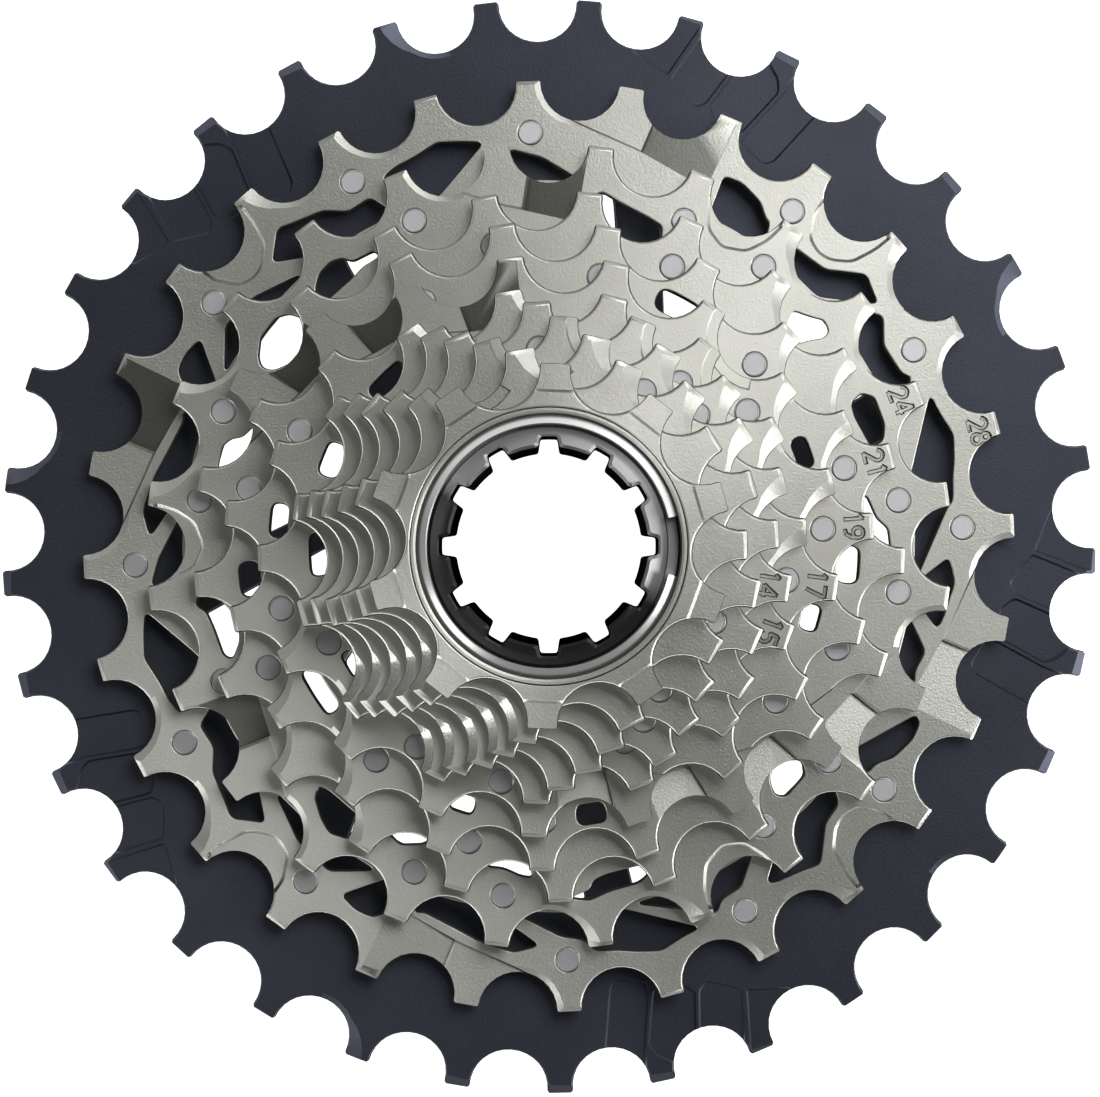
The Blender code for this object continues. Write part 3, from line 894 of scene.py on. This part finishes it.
def band_widths(teeth):
    """A band of even width that ends in a point at the bottom of the gullet."""
    turns = flank_turns(teeth, BAND_END, 9)
    return [(turn, max(min(BAND_WIDTH, (BAND_END - turn) * 0.05), 0.02)) for turn in turns]


def pin_holes(teeth):
    holes = []
    for smaller, larger, radius, angles in PINS + EXTRA_PINS:
        if teeth in (smaller, larger):
            holes += [circle(PIN_HOLE, PIN_SIDES, polar(radius, angle)) for angle in angles]
    return holes


def tooth_cutters(tools, teeth, top):
    for tooth, at_tip in FACETS.get(teeth, []):
        add_flank_cutter(tools, teeth, tooth, facet_widths(teeth, at_tip), FACET_SLOPE, top)
    for tooth in BANDS.get(teeth, []):
        add_flank_cutter(tools, teeth, tooth, band_widths(teeth), BAND_SLOPE, top)
    for tooth in STEPS.get(teeth, []):
        widths = [(turn, STEP_WIDTH) for turn in flank_turns(teeth, 215.0, 12)]
        add_flank_cutter(tools, teeth, tooth, widths, STEP_SLOPE, top, STEP_DEPTH)
    for tooth in range(teeth):
        width, drop = LONG_TIP if tooth in LONG_TIPS.get(teeth, []) else SHORT_TIP
        add_tip_cutter(tools, teeth, tooth, width, drop, top)


def make_plate_sprocket(teeth, material):
    holes = [inner_edge(teeth)] + pin_holes(teeth)
    holes += [window_outline(window) for window in WINDOWS.get(teeth, [])]
    if teeth == 28:
        holes += windows_28()
    top = front_face(teeth)
    piece = plate("sprocket_%d_detail" % teeth, toothed(teeth), holes, back_face(teeth), top, material)
    tools = bmesh.new()
    tooth_cutters(tools, teeth, top)
    if teeth in RAMPS:
        large_ramps(tools, teeth, top)
    small_ramps(tools, teeth, top)
    cut(piece, tools)
    if teeth in NUMERALS:
        marks = bmesh.new()
        engrave(marks, teeth, *NUMERALS[teeth])
        cut(piece, marks)
    place(piece, "sprocket_%d" % teeth, "cassette")


# ------------------------------ the black rear sprocket

SLOPED_33 = [3, 4, 10, 16, 17, 23, 24, 30, 5, 6, 11, 12, 18, 19, 25, 26, 31, 32]
SHAVED_33 = [2, 9, 15, 22, 29]
POCKETED_33 = [5, 11, 18, 25, 31]


def splined_bore():
    half = math.degrees(SPLINE_WIDTH / 2 / HUB_BORE)
    step = 360.0 / SPLINE_COUNT
    points = []
    for i in range(SPLINE_COUNT):
        middle = i * step
        points += arc(HUB_BORE - SPLINE_DEPTH, middle - half * 0.8, middle + half * 0.8, 4)
        points += arc(HUB_BORE, middle + half, middle + step - half, 10)
    return points


def arm_windows():
    following = ARMS[1:] + [(ARMS[0][0] + 360, ARMS[0][1] + 360)]
    inner = HUB_OUTER + 0.6
    at_hub = math.degrees(ARM_HALF_WIDTH / inner)
    at_rim = math.degrees(ARM_HALF_WIDTH / CARRIER_INNER)
    holes = []
    for arm, after in zip(ARMS, following):
        hub_side = arc(inner, arm[0] + at_hub, after[0] - at_hub, 8)
        rim_side = arc(CARRIER_INNER, after[1] - at_rim, arm[1] + at_rim, 12)
        holes.append(rounded(hub_side + rim_side, 2.2, 5))
    return holes


def pocket_33(tools, tooth, top):
    """The three shallow pockets that lift the chain, between one tooth and the next but one."""
    start = PHASE[33] + 360.0 * tooth / 33
    first = [(-5.9, 63.4), (-4.3, 55.2), (-3.2, 54.3), (0.8, 55.5), (0.4, 57.4), (-1.2, 63.4),
             (-1.4, 66.0), (-2.6, 70.0), (-4.6, 70.0)]
    second = [(1.4, 66.0), (-0.1, 64.8), (-0.9, 63.2), (1.0, 56.6), (4.6, 56.5), (6.2, 58.2), (4.7, 63.4),
              (3.6, 70.0), (2.2, 70.0)]
    third = [(5.0, 63.4), (6.5, 58.2), (7.9, 57.3), (11.6, 60.0), (9.4, 66.6), (9.0, 70.0), (6.4, 70.0)]
    fourth = [(9.6, 67.6), (11.9, 60.2), (16.6, 62.4), (16.6, 70.0), (9.7, 70.0)]
    for corners, depth in ((first, 0.35), (second, 0.42), (third, 0.3), (fourth, 0.38)):
        points = rounded([polar(radius, start + angle) for angle, radius in corners], 0.5, 2)
        add_cutter(tools, points, [depth] * len(points), top, 0.26)


def make_carrier(material):
    top = front_face(33)
    holes = arm_windows() + pin_holes(33) + [splined_bore()]
    piece = plate("sprocket_33_detail", toothed(33, 17), holes, 0.0, top, material, 0.13)
    hub = plate("hub", circle(HUB_OUTER, 128), [splined_bore()], 0.4, HUB_HEIGHT, material, 0.3)
    tools = bmesh.new()
    for tooth in SLOPED_33:
        add_tip_cutter(tools, 33, tooth, 1.15, 0.75, top, 0.22)
    for tooth in SHAVED_33:
        add_flank_cutter(tools, 33, tooth, facet_widths(33, 2.8), 0.4, top)
    for tooth in POCKETED_33:
        pocket_33(tools, tooth, top)
    cut(piece, tools)
    combine(piece, [hub], "UNION")
    place(piece, "sprocket_33", "cassette")


# ------------------------------ the one-piece small cluster


def make_cluster(material):
    base = back_face(13) - SLEEVE_LENGTH
    profile = [
        (SLEEVE_OUTER - 0.3, base), (SLEEVE_OUTER, base + 0.3), (SLEEVE_OUTER, back_face(13) + 0.5),
        (NECKS[12], back_face(13) + 0.5), (NECKS[12], back_face(12) + 0.5),
        (NECKS[11], back_face(12) + 0.5), (NECKS[11], back_face(11) + 0.5),
        (NECKS[10], back_face(11) + 0.5), (NECKS[10], FRONT - 0.4),
        (GROOVE_RADIUS + 0.1, FRONT - 0.4), (GROOVE_RADIUS + 0.1, FRONT - 0.001),
        (BORE + 0.35, FRONT - 0.001), (BORE + 0.1, FRONT - 0.1), (BORE, FRONT - 0.35),
        (BORE, FRONT - GROOVE_TOP), (GROOVE_RADIUS, FRONT - GROOVE_TOP),
        (GROOVE_RADIUS, FRONT - GROOVE_BOTTOM),
        (BORE, FRONT - GROOVE_BOTTOM), (BORE, FRONT - SHOULDER_DEPTH),
        (BORE_BEHIND, FRONT - SHOULDER_DEPTH), (BORE_BEHIND, base),
    ]
    piece = turned("cluster_detail", profile, 144, material)
    levels = []
    for teeth in (13, 12, 11, 10):
        top = front_face(teeth)
        holes = [circle(GROOVE_RADIUS + 0.05, 144)]
        if teeth == 13:
            holes += pin_holes(13)
        level = plate("level_%d" % teeth, toothed(teeth), holes, back_face(teeth), top, material)
        tools = bmesh.new()
        tooth_cutters(tools, teeth, top)
        cut(level, tools)
        if teeth == 10:
            lower_teeth(level, top)
        levels.append(level)
    combine(piece, levels, "UNION")
    place(piece, "cluster_10_11_12_13", "cassette")


def lower_teeth(level, top):
    """The smallest sprocket's teeth stand a little lower than the boss round its bore."""
    tools = bmesh.new()
    corners = [(-3.1, 17.75), (3.1, 17.75), (3.4, 22.5), (-3.4, 22.5)]
    for tooth in range(10):
        add_cutter(tools, across_tooth(PHASE[10] + 36.0 * tooth, corners), [0.45] * 4, top, 0.35)
    cut(level, tools)


# ------------------------------ lock tube, ring and pins


def notched_bore(grow=0.0, land=TUBE_LAND):
    points = []
    step = 360.0 / NOTCH_COUNT
    at_land = math.degrees((NOTCH_HALF_WIDTH + grow) / land)
    at_notch = math.degrees((NOTCH_HALF_WIDTH * 0.8 + grow) / TUBE_NOTCH)
    for i in range(NOTCH_COUNT):
        middle = i * step
        points += [polar(TUBE_NOTCH + grow, middle - at_notch), polar(TUBE_NOTCH + grow, middle + at_notch)]
        points += arc(land + grow, middle + at_land, middle + step - at_land, 6)
    return rounded(points, 0.35, 3)


def nose_height(radius):
    """The front of the lock tube falls away towards its rim."""
    return NOSE_TOP - max(radius - TUBE_LAND - 0.3, 0.0) * NOSE_SLOPE


def notched_cutter(bottom):
    """The inside of the nose: a broken edge along the face, then walls that close in with depth."""
    mouth = notched_bore(NOSE_CHAMFER + 0.2)
    outlines = [
        [(x, y, NOSE_TOP + 1.5) for x, y in mouth],
        [(x, y, nose_height(math.hypot(x, y)) + 0.2) for x, y in mouth],
        [(x, y, nose_height(math.hypot(x, y)) - NOSE_CHAMFER) for x, y in notched_bore()],
        [(x, y, bottom - 0.5) for x, y in notched_bore(0.0, TUBE_LAND_BELOW)],
    ]
    tools = bmesh.new()
    rings = [[vert(tools, *point) for point in outline] for outline in outlines]
    skin(tools, rings)
    tools.faces.new(rings[0])
    tools.faces.new(rings[-1])
    bmesh.ops.triangulate(tools, faces=tools.faces)
    return tools


def make_lock_tube(material):
    notch_bottom = NOSE_TOP - NOTCH_LENGTH
    rim = nose_height(TUBE_NOSE)
    nose = turned("lock_tube_detail", [
        (TUBE_LAND_BELOW - 1.5, notch_bottom), (TUBE_NOSE, notch_bottom), (TUBE_NOSE, rim - 0.2),
        (TUBE_NOSE - 0.12, rim - 0.02), (TUBE_LAND + 0.3, NOSE_TOP), (TUBE_LAND_BELOW - 1.5, NOSE_TOP),
    ], 144, material)
    cut(nose, notched_cutter(notch_bottom))
    flange_top = FRONT - GROOVE_BOTTOM - 0.3
    flange_bottom = flange_top - FLANGE_THICKNESS
    thread = []
    for i in range(THREAD_TURNS):
        z = notch_bottom - 0.4 - i * THREAD_PITCH
        thread += [(TUBE_THREAD_BORE, z), (TUBE_THREAD_BORE + THREAD_DEPTH, z - THREAD_PITCH / 2)]
    profile = [
        (TUBE_BODY - 0.3, TUBE_END), (TUBE_BODY, TUBE_END + 0.3), (TUBE_BODY, flange_bottom),
        (TUBE_FLANGE, flange_bottom), (TUBE_FLANGE, flange_top), (TUBE_NOTCH + 0.4, flange_top),
        (TUBE_NOTCH + 0.4, notch_bottom + 1.0), (TUBE_THREAD_BORE, notch_bottom + 1.0),
    ] + [point for point in thread if point[1] > TUBE_END + 0.4] + [(TUBE_THREAD_BORE + 0.3, TUBE_END)]
    combine(nose, [turned("tube_wall", profile, 144, material)], "UNION")
    shade(nose.data, TURNED_CREASE)
    place(nose, "lock_tube", "lock_tube")


def make_retaining_ring(material):
    top = FRONT - 0.1
    bottom = FRONT - GROOVE_BOTTOM + 0.3
    edge = 0.12
    fall = 0.65
    profile = [(RING_INNER, bottom), (RING_OUTER, bottom), (RING_OUTER, top - fall - edge),
               (RING_OUTER - edge, top - fall), (RING_INNER + edge, top), (RING_INNER, top - edge)]
    piece = turned("retaining_ring_detail", profile, 132, material, RING_HALF_GAP,
                   360 - 2 * RING_HALF_GAP)
    place(piece, "retaining_ring", "cassette")


def make_pin(name, smaller, larger, radius, angle, material):
    """A rivet pin with a shoulder between the sprockets and a groove round its faced end."""
    low = back_face(larger) + (0.25 if larger == 33 else 0.0)
    top = front_face(smaller)
    profile = [
        (0.0, low), (PIN_RADIUS - 0.1, low), (PIN_RADIUS, low + 0.1),
        (PIN_RADIUS, front_face(larger) + 0.05), (PIN_SHOULDER, front_face(larger) + 0.05),
        (PIN_SHOULDER, back_face(smaller) - 0.05), (PIN_RADIUS, back_face(smaller) - 0.05),
        (PIN_RADIUS, top - 0.06), (PIN_RADIUS - 0.05, top - 0.02), (PIN_FACE + 0.06, top - 0.13),
        (PIN_FACE, top - 0.04), (0.0, top - 0.04),
    ]
    bm = bmesh.new()
    cx, cy = polar(radius, angle)
    rings = []
    for r, z in profile:
        outline = circle(r, PIN_SIDES, (cx, cy)) if r else [(cx, cy)]
        rings.append([vert(bm, x, y, z) for x, y in outline])
    for lower, upper in zip(rings, rings[1:]):
        for i in range(PIN_SIDES):
            k = (i + 1) % PIN_SIDES
            corners = [ring[index % len(ring)] for ring, index in
                       ((lower, i), (lower, k), (upper, k), (upper, i))]
            bm.faces.new(list(dict.fromkeys(corners)))
    return to_object(name, bm, material)


def make_pins(material):
    for rows, numbered in ((PINS, True), (EXTRA_PINS, False)):
        for smaller, larger, radius, angles in rows:
            for number, angle in enumerate(angles, start=1):
                node = "pin_%d_%d_%02d" % (smaller, larger, number)
                name = node + "_detail" if numbered else "extra_" + node
                piece = make_pin(name, smaller, larger, radius, angle, material)
                place(piece, node if numbered else None, "cassette")


# ------------------------------ floor, lights and camera

WORLD_STRENGTH = 0.8
WALL_BAND = [(0.0, 0.1), (0.3, 0.8), (0.75, 0.9), (0.88, 0.12), (1.0, 0.1)]
DIM_HALF = [(0.4, 0.32), (0.6, 1.0)]
CAMERA_DISTANCE = 540.0       # from the rear sprocket's front face
FRAME_WIDTH = 136.65          # what the frame takes in at that distance
CAMERA_OFFSET = (0.14, -0.27)
SENSOR = 36.0
FLOOR_HALF = 3.0              # in metres, as is its level
FLOOR_LEVEL = -0.0002


def make_floor():
    bm = bmesh.new()
    corners = [(-FLOOR_HALF, -FLOOR_HALF), (FLOOR_HALF, -FLOOR_HALF), (FLOOR_HALF, FLOOR_HALF),
               (-FLOOR_HALF, FLOOR_HALF)]
    bm.faces.new([bm.verts.new((x, y, FLOOR_LEVEL)) for x, y in corners])
    material, _, shader = node_material("pale_floor", (0.9, 0.9, 0.9), 0.7, 0.0)
    shader.inputs["Emission Color"].default_value = (1.0, 1.0, 1.0, 1.0)
    shader.inputs["Emission Strength"].default_value = 1.1
    to_object("floor", bm, material)


def add_area_light(name, azimuth, elevation, distance, size, power):
    data = bpy.data.lights.new(name, "AREA")
    data.shape = "DISK"
    data.size = size
    data.energy = power
    light = bpy.data.objects.new(name, data)
    level, height = polar(distance, elevation)
    light.location = (*polar(level, azimuth), height)
    light.rotation_euler = (-Vector(light.location)).to_track_quat("-Z", "Y").to_euler()
    bpy.context.scene.collection.objects.link(light)


def make_world():
    """A studio with a dim ceiling and a bright band round its walls, dimmer over one half."""
    world = bpy.data.worlds.new("studio")
    bpy.context.scene.world = world
    world.use_nodes = True
    tree = world.node_tree
    direction = new_node(tree, "TexCoord").outputs["Generated"]
    up = new_node(tree, "SeparateXYZ", {"Vector": direction}).outputs["Z"]
    height = ramp_of(tree, up, WALL_BAND)
    wall = ramp_of(tree, side_of(tree, direction, BRIGHT_SIDE), DIM_HALF)
    background = tree.nodes["Background"]
    tree.links.new(product(tree, height, wall), background.inputs["Color"])
    background.inputs["Strength"].default_value = WORLD_STRENGTH


def make_camera():
    data = bpy.data.cameras.new("camera")
    data.sensor_width = SENSOR
    data.lens = SENSOR * CAMERA_DISTANCE / FRAME_WIDTH
    data.clip_start = 0.01
    data.clip_end = 10.0
    camera = bpy.data.objects.new("camera", data)
    x, y = CAMERA_OFFSET
    camera.location = (x * MM, y * MM, (CARRIER_PLATE + CAMERA_DISTANCE) * MM)
    bpy.context.scene.collection.objects.link(camera)
    bpy.context.scene.camera = camera


bpy.context.scene.view_settings.view_transform = "Standard"
make_camera()
make_world()
make_floor()
add_area_light("key", KEY_AZIMUTH, 58, 0.8, 0.5, 3.0)
add_area_light("right", -12, 25, 0.9, 0.4, 3.0)
add_area_light("left", 218, 30, 0.9, 0.4, 1.0)

steel = make_steel()
make_carrier(make_anodised())
for count in STACK[1:8]:
    make_plate_sprocket(count, steel)
make_cluster(steel)
make_lock_tube(make_dark_tube())
make_retaining_ring(make_spring_steel())
make_pins(make_pin_steel())
